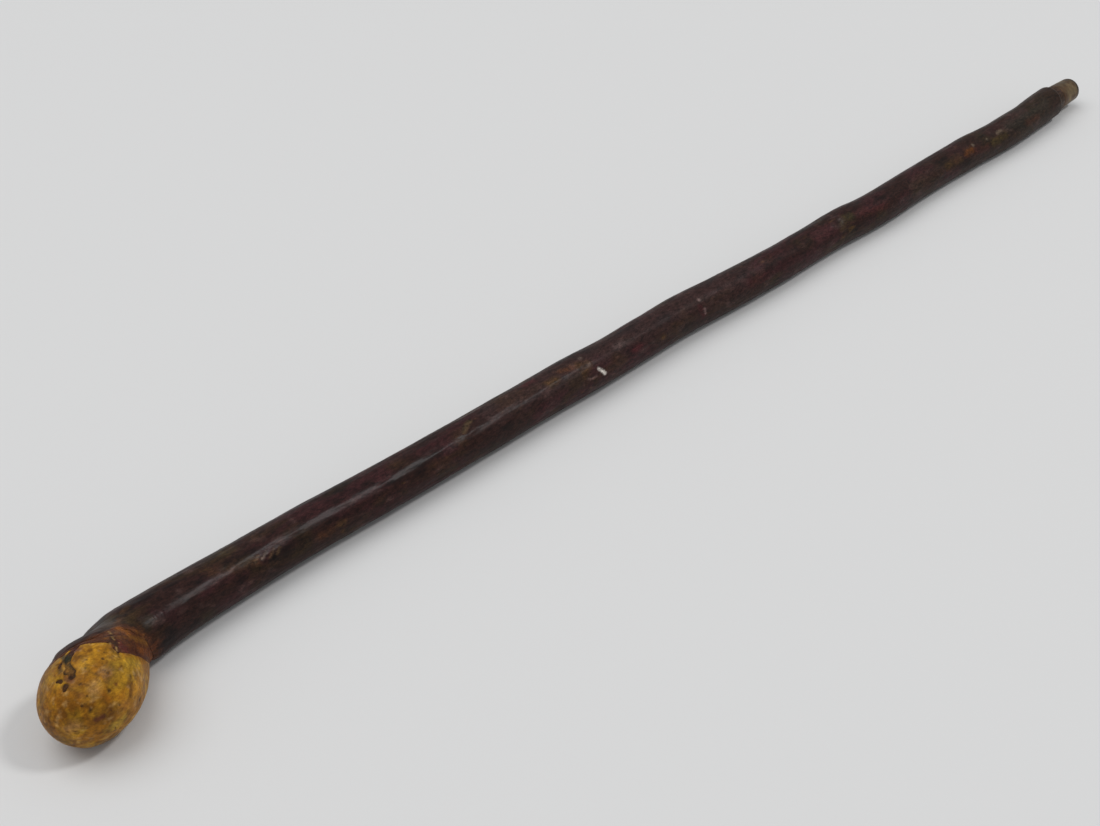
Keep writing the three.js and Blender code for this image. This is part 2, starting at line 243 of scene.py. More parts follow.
def radius_at(x, stations, radius):
    """Radii at an x for each point, read between the rings that stand at the stations."""
    return np.stack([np.interp(x[:, j], stations, radius[:, j]) for j in range(x.shape[1])], 1)


def ragged(edge, waves):
    """An edge round the axis with noise added: waves are (height in mm, size, seed)."""
    angles = side_angles(len(edge))
    circle = np.stack([np.cos(angles), np.sin(angles), 0 * angles], -1)
    return edge + sum(height * MM * noise(circle, size, seed) for height, size, seed in waves)


# From the photograph to the frame.
def photo_spot(pixel):
    """The frame's point that the photograph shows at a pixel."""
    across = (pixel[0] - PHOTO_WIDTH / 2) / PHOTO_WIDTH * SENSOR
    up = (PHOTO_HEIGHT / 2 - pixel[1]) / PHOTO_WIDTH * SENSOR
    ray = Euler(CAMERA_ANGLES).to_matrix() @ Vector((across, up, -LENS)).normalized()
    hit = tree.ray_cast(Vector(CAMERA_PLACE), ray)
    return None if hit[0] is None else np.array(hit[0])


def near_path(points, pixels, width, soften, uneven):
    """How much each point belongs to a stroke through the photograph's pixels (x, y, x, y), from 0 to 1."""
    share = np.zeros(points.shape[:-1])
    spots = map(photo_spot, zip(pixels[::2], pixels[1::2]))
    spots = np.array([spot for spot in spots if spot is not None])
    if not len(spots):
        return share
    reach = width * ((1 + soften) / 2 + NOISE_PEAK * uneven)
    close = np.all((points > spots.min(0) - reach) & (points < spots.max(0) + reach), axis=-1)
    inside = points[close]
    gap = np.full(len(inside), np.inf)
    for start, end in zip(spots, spots[1:] if len(spots) > 1 else spots):
        run = end - start
        along = np.clip(((inside - start) @ run) / max(run @ run, MM ** 3), 0, 1)
        gap = np.minimum(gap, np.linalg.norm(inside - start - along[:, None] * run, axis=-1))
    gap = gap + uneven * width * layered(inside, width * 0.45, pixels[0] * 7 + pixels[1])
    share[close] = 1 - smoothstep(gap, width / 2 * (1 - soften), width / 2 * (1 + soften))
    return share


# Painting and roughening points.
def ground(points, colour):
    return np.broadcast_to(linear(colour), points.shape)


def mix(colours, target, share):
    return colours + (linear(target) - colours) * np.clip(share, 0, 1)[..., None]


def washed(points, colours, table):
    """Colours with washes over them: (colour, share, grain in mm, seed, noise from, noise to, layers)."""
    for colour, share, grain, seed, low, high, layers in table:
        amount = smoothstep(layered(points, np.multiply(grain, MM), seed, layers), low, high)
        colours = mix(colours, colour, share * amount)
    return colours


def swell(points, wave, read):
    """Height from a wave, (height in mm, grain in mm, seed), read from one kind of noise."""
    height, grain, seed = wave
    return height * MM * read(points, np.multiply(grain, MM), seed)


# Making pieces.
SHARP_ANGLE = math.radians(50)


def placed(name, data):
    thing = bpy.data.objects.new(name, data)
    bpy.context.scene.collection.objects.link(thing)
    return thing


def dress(piece, node_names):
    """Shading of a piece, and what the frame is to know about it."""
    piece.data.shade_smooth()
    piece.data.set_sharp_from_angle(angle=SHARP_ANGLE)
    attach(piece, "root")
    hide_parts(*node_names)


def add_mesh(name, points, quads, node_names):
    mesh = bpy.data.meshes.new(name)
    mesh.from_pydata([tuple(p) for p in points], [], quads)
    mesh.update()
    piece = placed(name, mesh)
    dress(piece, node_names)
    return piece


def vertex_points(piece):
    return np.array([v.co for v in piece.data.vertices])


def skin(name, rings, node_names, joined=False):
    """A closed skin through rings of points: capped at its ends, or joined from last ring to first."""
    count, sides = rings.shape[:2]
    around = [(j, (j + 1) % sides) for j in range(sides)]
    points, quads = list(rings.reshape(-1, 3)), []
    for i in range(count if joined else count - 1):
        low, high = i * sides, (i + 1) % count * sides
        quads += [(low + j, low + k, high + k, high + j) for j, k in around]
    if not joined:
        for ring, order in ((0, -1), (count - 1, 1)):
            points.append(rings[ring].mean(0))
            base, tip = ring * sides, len(points) - 1
            quads += [(base + j, base + k, tip)[::order] for j, k in around]
    return add_mesh(name, points, quads, node_names)


def paint(piece, colours):
    """Stores a linear colour for each point, for the material to read."""
    mesh = piece.data
    full = np.ones((len(mesh.vertices), 4))
    full[:, :3] = np.clip(colours, 0, 1)
    mesh.color_attributes.new("paint", "FLOAT_COLOR", "POINT").data.foreach_set("color", full.ravel())


def above_floor(rings):
    rings[..., 2] = np.maximum(rings[..., 2], cad_box[0].z)
    return rings


# The knob and the stem's core.
CORE_START = NECK_END - 18 * MM


def knob_stations():
    """Stations along the knob, closest together at its rounded end."""
    turns = round(2 * KNOB_END_DEPTH / KNOB_STEP)
    first = KNOB_END_DEPTH * (np.arange(1, turns) / turns) ** 2
    rest = np.arange(KNOB_END_DEPTH, CORE_START, KNOB_STEP)
    return KNOB_TIP + np.concatenate([first, rest])


EDGE_HARMONICS = 22


def edge_along(stations, owner, names, last):
    """For each side, the x where the named nodes start to show for good, or where they last show."""
    named = np.isin(owner, names)
    shows = named
    for shift in (-2, -1, 1, 2):
        shows = shows | np.roll(named, shift, axis=0)
    edge = np.zeros(owner.shape[1])
    for j in range(owner.shape[1]):
        hidden = np.nonzero(~shows[:, j])[0]
        seen = np.nonzero(shows[:, j])[0]
        edge[j] = stations[seen[-1]] if last else stations[min(hidden[-1] + 1, len(stations) - 1)]
    return round_off(edge, EDGE_HARMONICS)


INGROWN = ["ingrown_bark_1", "ingrown_bark_2", "ingrown_bark_3"]

knob_x = knob_stations()
knob_raw, knob_owner = read_skin(knob_x, KNOB_SIDES)
knob_blur = np.clip((knob_x - KNOB_TIP) * 0.3, 0.1 * MM, 1.6 * MM)
knob_radius = np.sqrt(blur(round_off(knob_raw) ** 2, knob_x, knob_blur))
bark_edge = edge_along(knob_x, knob_owner, ["bark_sleeve"], False)
inner_edge = edge_along(knob_x, knob_owner, ["bark_sleeve", "inner_bark_collar"], False)
knob_skin = ring_points(knob_x, knob_radius)

# How the pockets' outlines are evened out, and how rough they are.
POCKET_HARMONICS, HALO_HARMONICS = 60, 50
FEATHER_WIDTH, POCKET_BLUR, HALO_WIDTH = 0.4 * MM, 0.9 * MM, 0.7 * MM
POCKET_OUTLINE = (0.42, 0.76)


def feathered(share):
    """A share of the knob's skin, with its steps from point to point evened out."""
    for _ in range(3):
        share = share / 2 + (np.roll(share, 1, 1) + np.roll(share, -1, 1)) / 4
    return blur(share, knob_x, FEATHER_WIDTH)


def pocket_share(node, seed):
    """How much each point of the knob's skin belongs to a node's pocket, with an uneven outline."""
    soft = blur(round_off((knob_owner == node).astype(float), POCKET_HARMONICS), knob_x, POCKET_BLUR)
    rough = 0.9 * layered(knob_skin, 2.4 * MM, seed) + 0.35 * noise(knob_skin, 1.1 * MM, seed + 7)
    return feathered(smoothstep(soft + rough * (soft > 0.02), *POCKET_OUTLINE))


pocket_shares = {node: pocket_share(node, 101 + k) for k, node in enumerate(INGROWN)}
pocket = np.maximum.reduce(list(pocket_shares.values()))
pocket_halo = blur(round_off(pocket, HALO_HARMONICS), knob_x, HALO_WIDTH)

TAIL_START, TAIL_STEP = 408 * MM, 0.5 * MM
tail_x = np.arange(TAIL_START, FERRULE_BOX[0].x, TAIL_STEP)
tail_raw, tail_owner = read_skin(tail_x, STEM_SIDES)
bark_end = edge_along(tail_x, tail_owner, ["bark_sleeve"], True)


def resample(ring, sides):
    """A ring of values for another number of sides."""
    turn = np.arange(sides) / sides * len(ring)
    return np.interp(turn, np.arange(len(ring) + 1), np.append(ring, ring[0]))


def resample_all(rings, sides):
    return np.array([resample(ring, sides) for ring in rings])


# Marks on the knob by the photograph's pixels: (pixels, width in mm, depth in mm, colour).
DARK, RED, DRAB = (44, 27, 12), (84, 36, 22), (74, 62, 30)
KNOB_SPECKS = [
    ((59, 668, 60, 671), 2.4, 0.4, DARK),
    ((70, 677, 71, 680), 3, 0.45, RED),
    ((58, 682), 1.8, 0.35, DARK),
    ((63, 687), 1.8, 0.35, DARK),
    ((109, 691), 1.9, 0.4, DARK),
    ((131, 676), 1.8, 0.3, DARK),
    ((108, 673), 1.1, 0.2, DARK),
    ((116, 684), 1.6, 0.2, RED),
    ((140, 700), 2.2, 0.35, DARK),
    ((90, 711), 1.9, 0.3, DARK),
    ((82, 706), 1.2, 0.2, DARK),
    ((87, 696), 1, 0.15, DARK),
    ((85, 668), 1, 0.1, DRAB),
    ((112, 636), 1.8, 0.4, DARK),
    ((116, 643, 117, 647), 1.3, 0.3, DARK),
    ((119, 653), 1.2, 0.3, DARK),
    ((74, 650, 77, 649), 3.4, 0.3, RED),
    ((63, 655, 65, 662), 2.8, 0.3, (40, 38, 20)),
    ((67, 668, 65, 673), 1.6, 0.3, (66, 60, 34)),
    ((96, 720, 104, 717), 2.2, 0.1, (88, 44, 28)),
]
# Broad tones on the knob, with two painted highlights among them: (pixels, width in mm, colour, share).
KNOB_TONES_AND_HIGHLIGHTS = [
    ((48, 668, 44, 690), 10, (128, 100, 46), 0.6),
    ((42, 700, 46, 722, 58, 738), 10, (104, 66, 10), 0.7),
    ((72, 668, 92, 652, 106, 648), 9, (168, 120, 24), 0.55),
    ((76, 640, 98, 644), 3.5, (150, 100, 20), 0.6),
    ((118, 668, 132, 668, 128, 676), 8, (146, 119, 34), 0.55),
    ((142, 672, 136, 694, 128, 706), 8, (186, 130, 30), 0.7),
    ((100, 694, 122, 698), 5, (156, 86, 10), 0.5),
    # Painted highlight: a pale soft spot where the lamp's reflection falls on the knob's front.
    ((93, 686, 96, 691), 4.5, (190, 152, 104), 0.6),
    ((86, 700, 102, 698), 4, (92, 56, 14), 0.55),
    ((75, 690, 81, 693), 5, (100, 62, 24), 0.5),
    ((58, 714, 66, 720), 4, (88, 50, 4), 0.7),
    ((78, 722, 86, 716), 3, (88, 50, 4), 0.55),
    ((94, 722, 108, 710, 112, 718), 4, (84, 44, 4), 0.6),
    ((68, 730, 76, 726), 4.5, (186, 138, 84), 0.75),
    ((110, 730, 122, 720), 5, (164, 138, 50), 0.7),
    ((66, 742, 96, 745, 112, 738), 6, (112, 86, 26), 0.6),
    ((80, 694, 84, 702), 3, (166, 112, 60), 0.4),
    ((54, 700, 60, 722), 8, (140, 84, 10), 0.6),
    ((62, 706, 84, 704, 124, 709), 6, (104, 60, 6), 0.65),
    # Painted highlight: a thin pale line along the knob's upper edge, just below the bark's edge.
    ((82, 641, 101, 641), 1, (206, 174, 116), 0.7),
    ((124, 704, 134, 706), 4, (158, 104, 46), 0.4),
    ((108, 670, 113, 684), 6, (98, 68, 12), 0.6),
    ((126, 662, 140, 664, 150, 670), 3, (184, 144, 44), 0.6),
]
# Pale and dark flecks in the crack beside the inner bark: (pixels, width in mm).
PALE_FLECKS = [
    ((108, 632, 111, 634), 0.9), ((112, 637, 114, 640), 0.7), ((116, 647, 117, 651), 0.8),
    ((114, 655, 117, 657), 0.7), ((110, 643, 111, 645), 0.7), ((119, 643), 0.7),
]
DARK_FLECKS = [
    ((111, 635, 112, 640), 1.8), ((115, 642, 116, 646), 2), ((112, 648, 114, 652), 1.8),
    ((118, 653, 119, 657), 1.6), ((107, 629, 110, 631), 1.6), ((109, 641, 113, 644), 1.4),
]
FLECK_PALE, FLECK_DARK, FLECK_SHARE = (176, 140, 82), (48, 28, 12), 0.65
KNOB_GOLD, KNOB_AMBER, KNOB_BROWN, KNOB_OLIVE = (177, 128, 28), (146, 95, 14), (94, 54, 4), (136, 110, 24)
KNOB_STREAK, KNOB_PALE, SHOULDER_BROWN = (74, 40, 4), (196, 158, 100), (72, 52, 34)
POCKET_EDGE = (84, 58, 18)
KNOB_GROUND = [
    (KNOB_GOLD, 1, 6, 61, -0.25, 0.35, 4),
    (KNOB_OLIVE, 0.45, 9, 63, 0.05, 0.55, 4),
]
KNOB_FIGURE = [
    (KNOB_BROWN, 0.7, (5, 3, 3), 62, 0.15, 0.6, 4),
    (KNOB_STREAK, 0.5, (3.6, 1.3, 1.3), 65, 0.3, 0.7, 3),
]
KNOB_BLEACHED = [(KNOB_PALE, 0.4, 2.8, 66, 0.2, 0.75, 3)]
# Painted shade on the knob's underside: the heights over which it fades out, and its share; then the
# specks' share.
UNDERSIDE_SHADE_HEIGHTS, UNDERSIDE_SHADE_SHARE, SPECK_SHARE = (1 * MM, 16 * MM), 0.5, 0.85

# Marks narrower than this many mm are fine. Edges are (how soft, how uneven), as shares of a mark's width.
FINE_MARK, FINE_EDGE, BROAD_EDGE, FLECK_EDGE = 3, (0.8, 0.25), (0.95, 0.35), (0.9, 0.3)
PATCH_SIZE = 3 * MM


def marks(points, table, broken=0.0):
    """Each mark's share of the points, with the rest of its row; broken is how patchy marks are."""
    patches = 1 - broken * smoothstep(layered(points, PATCH_SIZE, 9), -0.5, 0.5)
    for pixels, width, *rest in table:
        edge = FINE_EDGE if width < FINE_MARK else BROAD_EDGE
        yield near_path(points, pixels, width * MM, *edge) * patches, rest


def warped(points, amount, size, seed):
    """The same points pushed about, so that noise read at them curls like burr wood."""
    return points + amount * np.stack([layered(points, size, seed + k) for k in range(3)], -1)


def fleck(points, colours):
    """The crack's flecks, over whatever colours lie there."""
    for table, colour in ((DARK_FLECKS, FLECK_DARK), (PALE_FLECKS, FLECK_PALE)):
        for pixels, width in table:
            colours = mix(colours, colour, FLECK_SHARE * near_path(points, pixels, width * MM, *FLECK_EDGE))
    return colours


# Waves of the knob's surface: (height in mm, grain in mm, seed).
RASP_HOLLOWS, RASP_MARKS, KNOB_GRAIN = (0.26, 9, 3), (0.07, 2.2, 4), (0.04, (7, 0.9, 0.9), 6)
PIT_DEPTH, PIT_SIZE, PIT_SEED = 0.2 * MM, 2.2 * MM, 7
CURL, CURL_SIZE, CURL_SEED = 3 * MM, 7 * MM, 64


def knob_relief(points):
    """What the knob's surface adds to the frame: shallow hollows left by the rasp, grain, and pits."""
    relief = swell(points, RASP_HOLLOWS, layered) + swell(points, RASP_MARKS, layered)
    relief = relief + swell(points, KNOB_GRAIN, noise)
    for share, (depth, _) in marks(points, KNOB_SPECKS):
        relief = relief - depth * MM * share
    return relief - PIT_DEPTH * smoothstep(noise(points, PIT_SIZE, PIT_SEED), 0.8, 0.95)


def knob_paint(points):
    curled = warped(points, CURL, CURL_SIZE, CURL_SEED)
    colours = washed(curled, ground(points, KNOB_AMBER), KNOB_GROUND)
    # Painted shade: the knob is darkened towards its underside, near the floor.
    painted_underside_shade = 1 - smoothstep(points[..., 2], *UNDERSIDE_SHADE_HEIGHTS)
    colours = mix(colours, KNOB_BROWN, UNDERSIDE_SHADE_SHARE * painted_underside_shade)
    # Tones, with the painted highlights on the knob's front and along its upper edge.
    for share, (colour, weight) in marks(points, KNOB_TONES_AND_HIGHLIGHTS, broken=0.5):
        colours = mix(colours, colour, weight * share)
    colours = washed(curled, colours, KNOB_FIGURE)
    colours = washed(points, colours, KNOB_BLEACHED)
    colours = mix(colours, DARK, 0.8 * smoothstep(noise(points, PIT_SIZE, PIT_SEED), 0.78, 0.92))
    for share, (_, colour) in marks(points, KNOB_SPECKS):
        colours = mix(colours, colour, SPECK_SHARE * share)
    mottle = 0.94 + 0.24 * layered(curled, 4 * MM, 67) + 0.26 * layered(points, 1.5 * MM, 68)
    colours = fleck(points, colours * mottle[..., None])
    return mix(colours, SHOULDER_BROWN, smoothstep(points[..., 0], TAIL_START - 8 * MM, TAIL_START))


# Where the wood goes down under each bark and comes out at the shoulder: spans from the bark's edge.
UNDER_BARK, UNDER_INNER, FROM_BARK = (0.4 * MM, 1.6 * MM), (0.3 * MM, 1.2 * MM), (-1.4 * MM, -0.2 * MM)
CORE_SUNK, INNER_SUNK = BARK_THICKNESS + CLEARANCE, INNER_THICKNESS + CLEARANCE
CORE_RINGS, CORE_GAPS = 40, (8 * MM, 2 * MM)
SHOULDER_BLUR, SHOULDER_GRAIN = 0.5 * MM, (0.16, (4, 3, 3), 31)
SPIGOT_CLEARANCE, SPIGOT_END, SPIGOT_CHAMFER = 0.3 * MM, 445.6 * MM, 1 * MM
FERRULE_WALL = 0.6 * MM
FERRULE_ENDS = FERRULE_BOX[0].x + 1 * MM, FERRULE_BOX[1].x - 1 * MM


def past(x, edge, span):
    """How far each x lies through a span measured from an edge, from 0 to 1."""
    return smoothstep(x, edge + span[0], edge + span[1])


def wood_rings():
    """The knob, the core under the bark, the pared shoulder and the spigot in the ferrule."""
    under_inner = past(knob_x[:, None], inner_edge, UNDER_INNER)
    sink = np.maximum(past(knob_x[:, None], bark_edge, UNDER_BARK) * CORE_SUNK, under_inner * INNER_SUNK)
    sink = np.maximum(sink, POCKET_DEPTH * smoothstep(pocket, 0.04, 0.6))
    relief = knob_relief(knob_skin) * (1 - under_inner) * (1 - smoothstep(pocket, 0.02, 0.3))
    knob = ring_points(knob_x, knob_radius + relief - sink)
    core_x = np.linspace(knob_x[-1] + CORE_GAPS[0], TAIL_START - CORE_GAPS[1], CORE_RINGS)
    core_radius = radius_at(np.repeat(core_x[:, None], STEM_SIDES, 1), stem_x, stem_radius)
    core = ring_points(core_x, resample_all(core_radius, KNOB_SIDES) - CORE_SUNK)
    return above_floor(np.concatenate([knob, core, shoulder_rings()]))


def shoulder_rings():
    """The wood where it comes out of the bark, pared down to the spigot that carries the ferrule."""
    radius = resample_all(blur(round_off(tail_raw), tail_x, SHOULDER_BLUR), KNOB_SIDES)
    covered = 1 - past(tail_x[:, None], resample(bark_end, KNOB_SIDES), FROM_BARK)
    pared = swell(ring_points(tail_x, radius), SHOULDER_GRAIN, noise) * (1 - covered)
    outer = ring_points(tail_x, radius - covered * CORE_SUNK + pared)
    spigot_x = np.array([tail_x[-1] + 0.4 * MM, SPIGOT_END - SPIGOT_CHAMFER, SPIGOT_END])
    start, end = [section_radius(x) - FERRULE_WALL - SPIGOT_CLEARANCE for x in FERRULE_ENDS]
    spigot = np.repeat([[start], [end], [end - SPIGOT_CHAMFER]], KNOB_SIDES, 1)
    return np.concatenate([outer, ring_points(spigot_x, spigot)])


def make_wood():
    piece = skin("knob_and_core", wood_rings(), ["knob_and_stem_wood"])
    colours = knob_paint(vertex_points(piece))
    beside = 0.75 * smoothstep(pocket_halo, 0.02, 0.4).ravel()
    colours[:beside.size] = mix(colours[:beside.size], POCKET_EDGE, beside)
    paint(piece, colours)
    return piece


# The stem's bark.
OCHRE, OLIVE, MAROON, MAUVE = (104, 74, 34), (66, 56, 28), (74, 28, 32), (104, 86, 82)
PALE, CHIP_PALE, BLACK = (150, 134, 120), (232, 224, 214), (24, 15, 12)
GREY_GREEN, RED_BROWN = (52, 54, 46), (84, 44, 28)

# Marks by the photograph's pixels, the first of them a broad painted sheen along the stem's upper side:
# (pixels, width in mm, depth in mm, colour, share).
BARK_MARKS_AND_SHEEN = [
    # Painted sheen: a broad mauve-grey wash where light glances off the stem's upper side.
    ((490, 414, 564, 374, 644, 327, 752, 269), 15, 0, (84, 64, 64), 0.32),
    ((116, 627, 119, 619), 3, 0.1, (110, 66, 28), 0.6),
    ((121, 614, 126, 608), 3, 0, (96, 66, 36), 0.5),
    ((128, 622, 134, 612), 4, 0, (84, 62, 36), 0.5),
    ((104, 626, 112, 616), 6, 0, (84, 68, 44), 0.5),
    ((211, 573, 232, 568, 256, 560), 5, 0.05, (84, 60, 30), 0.4),
    ((224, 552, 232, 549), 6, 0, (82, 68, 40), 0.5),
    ((262, 559, 266, 552), 1.3, 0.15, PALE, 0.5),
    ((270, 557, 274, 549), 1.6, 0.15, (104, 78, 54), 0.6),
    ((277, 554, 280, 547), 1.2, 0.15, (116, 88, 60), 0.6),
    ((255, 562, 258, 556), 1.2, 0.1, (110, 88, 66), 0.5),
    ((298, 539, 301, 541), 4, 0.3, BLACK, 0.8),
    ((320, 537, 332, 531), 4, 0, (96, 56, 24), 0.5),
    ((338, 526, 345, 521), 3, 0, OCHRE, 0.4),
    ((464, 432, 466, 427, 469, 421), 2.6, 0.2, (98, 82, 54), 0.7),
    ((549, 384, 556, 379), 4, 0.05, OCHRE, 0.7),
    ((578, 366, 588, 364, 584, 372), 5, 0.05, (84, 58, 26), 0.7),
    ((560, 372, 572, 368), 3, 0, (110, 64, 30), 0.5),
    ((572, 352, 580, 358), 2.6, 0.1, (110, 98, 88), 0.5),
    ((599, 369, 601, 370, 605, 373), 1.9, 0.3, CHIP_PALE, 1.33),
    ((588, 379, 592, 379, 597, 376), 1.3, 0.15, (140, 112, 104), 0.5),
    ((616, 347, 622, 343), 4, 0, MAUVE, 0.45),
    ((634, 350, 640, 346), 4, 0, (84, 22, 30), 0.5),
    ((524, 386, 532, 381), 4, 0, MAROON, 0.6),
    ((699, 300), 1.9, 0.15, (170, 140, 134), 0.8),
    ((705, 309, 706, 313), 1.7, 0.15, (150, 122, 118), 0.7),
    ((700, 306, 704, 316), 3.4, 0, (70, 20, 28), 0.6),
    ((752, 281, 762, 276), 8, 0, MAROON, 0.5),
    ((818, 236, 830, 228), 7, 0, (84, 44, 46), 0.6),
    ((842, 228, 846, 218, 852, 216), 5, 0, OLIVE, 0.8),
    ((858, 213, 872, 209, 884, 205), 6, 0, (78, 36, 36), 0.6),
    ((916, 186, 940, 172), 10, 0, (62, 50, 34), 0.5),
    ((948, 166, 960, 159), 6, 0.05, (84, 62, 30), 0.5),
    ((966, 153, 972, 149), 4, 0.1, (112, 62, 12), 0.75),
    ((973, 145), 2, 0.1, (160, 140, 118), 0.7),
    ((987, 139), 2, 0.1, (132, 116, 98), 0.6),
    ((997, 133, 1001, 130), 2.4, 0.1, (120, 106, 88), 0.6),
    ((994, 142, 1006, 135), 5, 0, (78, 66, 30), 0.6),
    ((1028, 122, 1038, 117), 5, 0, RED_BROWN, 0.6),
    ((1008, 126, 1046, 104), 10, 0, GREY_GREEN, 0.5),
    ((976, 151, 988, 147), 5, 0, (78, 38, 34), 0.5),
    ((1010, 118, 1024, 110), 6, 0, (64, 40, 38), 0.5),
]
# Healed knots: (pixel, width in mm, strength).
KNOTS = [
    ((838, 222), 8, 0.9),
    ((226, 570), 6, 0.3),
    ((466, 430), 6, 0.3),
    ((940, 172), 6, 0.6),
    ((586, 364), 5, 0.12),
]

BARK_BLEND = 14 * MM
DENSITY_STEP, DENSITY_REACH = 0.5 * MM, 7 * MM
STEM_HARMONICS, STEM_BLUR = 7, 4 * MM


def stem_stations():
    """Stations along the stem, closer together where the photograph shows small marks."""
    fine = np.arange(KNOB_TIP + CORE_START - BARK_BLEND, TAIL_START, DENSITY_STEP)
    density = np.full(len(fine), 1 / STEM_STEP)
    for pixels, width, _, colour, _ in BARK_MARKS_AND_SHEEN:
        spot = photo_spot(pixels[:2])
        if spot is not None and width < FINE_MARK:
            step = STEM_CHIP_STEP if colour == CHIP_PALE else STEM_FINE_STEP
            near = np.exp(-((fine - spot[0]) / DENSITY_REACH) ** 2)
            density = np.maximum(density, near / step)
    total = np.cumsum(density) * DENSITY_STEP
    return np.interp(np.linspace(total[0], total[-1], int(total[-1])), total, fine)


stem_x = stem_stations()
stem_raw, _ = read_skin(stem_x, STEM_SIDES)
stem_radius = blur(round_off(stem_raw, STEM_HARMONICS), stem_x, STEM_BLUR)

# How the bark starts at its cut edge and ends at the shoulder. Waves are (height in mm, size, seed).
BARK_EDGE_WAVES, BARK_END_WAVES = [(0.5, 0.22, 41), (0.25, 0.08, 42)], [(0.3, 0.3, 43)]
BARK_EDGE_STEP, BARK_LIP, BARK_LIP_DROP = 0.75 * MM, 0.9 * MM, 0.2 * MM
BARK_END_RINGS, BARK_END_BLUR = 25, 0.6 * MM


def bark_over_knob(start):
    """The bark from its cut edge on the knob to the start of the even stem."""
    edge = ragged(resample(bark_edge, STEM_SIDES), BARK_EDGE_WAVES)
    steps = int((start - edge.min()) / BARK_EDGE_STEP)
    share = (np.arange(steps) / steps)[:, None]
    x = edge + (start - edge) * share
    on_knob = radius_at(x, knob_x, resample_all(knob_radius, STEM_SIDES))
    on_stem = radius_at(x, stem_x, stem_radius)
    radius = on_knob + smoothstep(x, stem_x[0], start) * (on_stem - on_knob)
    radius += BARK_PROUD * (1 - smoothstep(share, 0.2, 1))
    radius -= BARK_LIP_DROP * (1 - smoothstep(x - edge, 0, BARK_LIP))
    return x, radius


def bark_at_shoulder():
    """The bark's last rings, up to its uneven end."""
    end = ragged(bark_end, BARK_END_WAVES)
    share = (np.arange(1, BARK_END_RINGS + 1) / BARK_END_RINGS)[:, None]
    x = TAIL_START + (end - TAIL_START) * share
    return x, radius_at(x, tail_x, blur(round_off(tail_raw), tail_x, BARK_END_BLUR))


def bark_surface():
    """An x and a radius for each point of the bark's outside."""
    start = stem_x[0] + BARK_BLEND
    beyond = stem_x >= start
    middle = np.repeat(stem_x[beyond, None], STEM_SIDES, 1), stem_radius[beyond]
    parts = bark_over_knob(start), middle, bark_at_shoulder()
    return [np.concatenate(part) for part in zip(*parts)]


# Waves of the bark's surface: (height in mm, grain in mm, seed).
BARK_WRINKLES, BARK_GRAIN = (0.13, (18, 2.2, 2.2), 11), (0.07, (9, 1, 1), 12)
BARK_SWELLINGS = (0.2, (26, 9, 9), 13)
FOLD_HEIGHT, FOLD_SIZE, FOLD_SEED = 0.09 * MM, (0.9 * MM, 3 * MM, 3 * MM), 14
KNOT_HEIGHT, KNOT_STRETCH = 0.5 * MM, (0.8, 1, 1)


def ridge(distance, at, width):
    return np.exp(-((distance - at) / width) ** 2)


def knots(points):
    """Each knot's distance from the points, with its radius and its strength."""
    for pixel, width, strength in KNOTS:
        gap = np.linalg.norm((points - photo_spot(pixel)) * KNOT_STRETCH, axis=-1)
        yield gap, width * MM / 2, strength


def bark_relief(points):
    """What the bark's surface adds to the frame: wrinkles, swellings, healed knots and worn marks."""
    relief = swell(points, BARK_WRINKLES, noise) + swell(points, BARK_GRAIN, noise)
    relief = relief + swell(points, BARK_SWELLINGS, layered)
    relief = relief + FOLD_HEIGHT * smoothstep(noise(points, FOLD_SIZE, FOLD_SEED), 0.45, 0.8)
    for gap, radius, strength in knots(points):
        rise = ridge(gap, radius, 0.9 * MM) - ridge(gap, 0, 1.2 * MM)
        relief = relief + strength * KNOT_HEIGHT * rise
    for share, (depth, _, _) in marks(points, BARK_MARKS_AND_SHEEN):
        relief = relief - depth * MM * share
    return relief


# Which of the outside's rings the inside follows: one in 6 of the first 120, then one in 12.
INSIDE_FINE, INSIDE_FINE_STEP, INSIDE_STEP = 120, 6, 12


def bark_rings():
    """The bark's rings outside and inside, and each outer point's distance from the first along x."""
    x, radius = bark_surface()
    relief = bark_relief(ring_points(x, radius))
    outer = above_floor(ring_points(x, radius + relief))
    fine, coarse = range(0, INSIDE_FINE, INSIDE_FINE_STEP), range(INSIDE_FINE, len(x), INSIDE_STEP)
    rows = np.unique([*fine, *coarse, len(x) - 1])[::-1]
    inner = ring_points(x[rows], radius[rows] - BARK_THICKNESS)
    return outer, inner, x - x[0]


BARK_BASE, BARK_DARK, BARK_PURPLE, BARK_BROWN = (42, 23, 19), (22, 12, 10), (54, 26, 28), (55, 37, 21)
BARK_MAUVE, BARK_TIP, BARK_OLIVE = (82, 60, 56), (43, 31, 17), (43, 33, 16)
BARK_TONES = [
    (BARK_PURPLE, 0.8, (24, 12, 12), 51, -0.1, 0.5, 3),
    (BARK_BROWN, 0.6, (20, 9, 9), 52, 0.1, 0.6, 3),
    (BARK_OLIVE, 0.6, (16, 10, 10), 58, 0.15, 0.6, 3),
    (BARK_DARK, 0.8, (15, 6, 6), 53, 0.1, 0.6, 3),
]
BARK_BLOTCHES = [
    (BARK_MAUVE, 0.5, (6, 4, 4), 54, 0.2, 0.8, 3),
    (OCHRE, 0.4, (7, 4, 4), 55, 0.5, 0.9, 3),
]
MARK_STRENGTH = 0.75
WORN_WAVE, WORN_WIDTH, WORN_LIMIT = (4, (5, 3, 3), 57), 7 * MM, 16 * MM


def worn_edge(points, edge_gap, colours):
    """The bark beside its cut edge, worn through to inner bark in places, and least so on the knob."""
    reach = edge_gap + swell(points, WORN_WAVE, layered)
    share = 0.3 + 0.55 * smoothstep(points[..., 0] - KNOB_TIP, 24 * MM, 48 * MM)
    share = share * (1 - smoothstep(reach, 0, WORN_WIDTH))
    beside = edge_gap < WORN_LIMIT
    colours[beside] += share[beside][:, None] * (inner_bark_paint(points[beside]) - colours[beside])
    return colours


